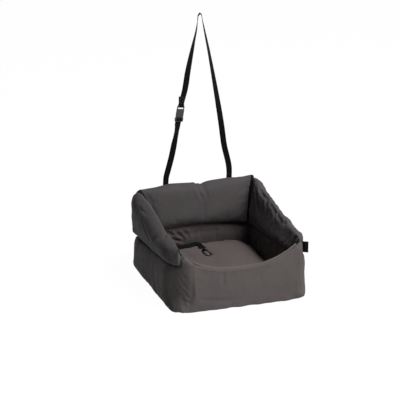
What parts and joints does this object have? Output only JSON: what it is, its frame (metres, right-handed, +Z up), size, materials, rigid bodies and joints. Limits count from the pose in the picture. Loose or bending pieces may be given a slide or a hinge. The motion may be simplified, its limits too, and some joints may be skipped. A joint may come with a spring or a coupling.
{
  "type": "dog car seat",
  "caption": "Padded open-front dog car seat with raised bolsters, loose cushion, adjustable hanging strap with a side-release buckle and a tether with a swivel snap hook.",
  "frame": {"origin": "centre of the underside, on the surface the seat stands on", "axes": "+Z up, +Y towards the back with the strap, -Y towards the low front, +X to the right seen from the front"},
  "size_m": [0.488, 0.5093, 0.8804],
  "materials": {
    "body_fabric": "satin coated weave",
    "side_fabric": "satin coated weave",
    "trim_fabric": "matte",
    "board": "matte",
    "webbing": "matte ribbed weave",
    "buckle_plastic": "satin moulded",
    "hook_metal": "satin black"
  },
  "bodies": {
    "seat": {"base_fabric": "side_fabric", "base_board": "board", "front_wall": "body_fabric", "left_wall": "side_fabric", "right_wall": "side_fabric", "back_wall": "body_fabric", "back_bolster": "body_fabric", "left_bolster": "body_fabric", "right_bolster": "body_fabric", "front_hem": "body_fabric", "back_left_piping": "trim_fabric", "back_right_piping": "trim_fabric", "front_left_piping": "trim_fabric", "front_right_piping": "trim_fabric", "side_tag": "trim_fabric", "tether_anchor": "webbing", "strap_tail_left": "webbing", "strap_tail_right": "webbing"},
    "cushion": {"cushion": "body_fabric"},
    "strap": {"strap_lower": "webbing", "strap_upper": "webbing", "buckle_plug": "buckle_plastic"},
    "prong_left": {"buckle_prong_left": "buckle_plastic"},
    "prong_right": {"buckle_prong_right": "buckle_plastic"},
    "socket": {"buckle_socket": "buckle_plastic", "strap_end_fold": "webbing"},
    "tether": {"tether_webbing": "webbing", "tether_end_loop": "webbing", "hook_eye": "hook_metal"},
    "hook": {"hook_body": "hook_metal", "hook_gate_pin": "hook_metal"},
    "gate": {"hook_gate": "hook_metal"}
  },
  "joints": [
    {"name": "strap_swing", "type": "hinge", "parent": "seat", "child": "strap", "pos_m": [0, 0.251, 0.288], "axis": [1, 0, 0], "range_deg": [-118, 75], "deforming": ["strap_lower", "strap_upper"]},
    {"name": "buckle_release", "type": "slide", "parent": "strap", "child": "socket", "axis": [0.1482, -0.0442, 0.988], "range_m": [0, 0.03], "deforming": ["buckle_prong_left", "buckle_prong_right"]},
    {"name": "prong_left_press", "type": "hinge", "parent": "strap", "child": "prong_left", "pos_m": [-0.06738, 0.24007, 0.51827], "axis": [-0.0697, 0.9961, 0.055], "range_deg": [0, 7], "stiffness_Nm_per_rad": 0.05},
    {"name": "prong_right_press", "type": "hinge", "parent": "strap", "child": "prong_right", "pos_m": [-0.05002, 0.24143, 0.51573], "axis": [0.0697, -0.9961, -0.055], "range_deg": [0, 7], "stiffness_Nm_per_rad": 0.05},
    {"name": "cushion_lift", "type": "slide", "parent": "seat", "child": "cushion", "axis": [0, 0, 1], "range_m": [0, 0.3], "deforming": ["cushion"]},
    {"name": "tether_swing", "type": "hinge", "parent": "seat", "child": "tether", "pos_m": [-0.1851, 0.143, 0.0985], "axis": [0, -1, 0], "range_deg": [0, 60], "deforming": ["tether_webbing"]},
    {"name": "hook_swivel", "type": "hinge", "parent": "tether", "child": "hook", "pos_m": [-0.0235, 0.079, 0.0858], "axis": [0, 1, 0], "continuous": true},
    {"name": "hook_gate_press", "type": "hinge", "parent": "hook", "child": "gate", "pos_m": [-0.0167, 0.071, 0.0858], "axis": [0, 0, -1], "range_deg": [0, 22], "stiffness_Nm_per_rad": 0.02}
  ]
}
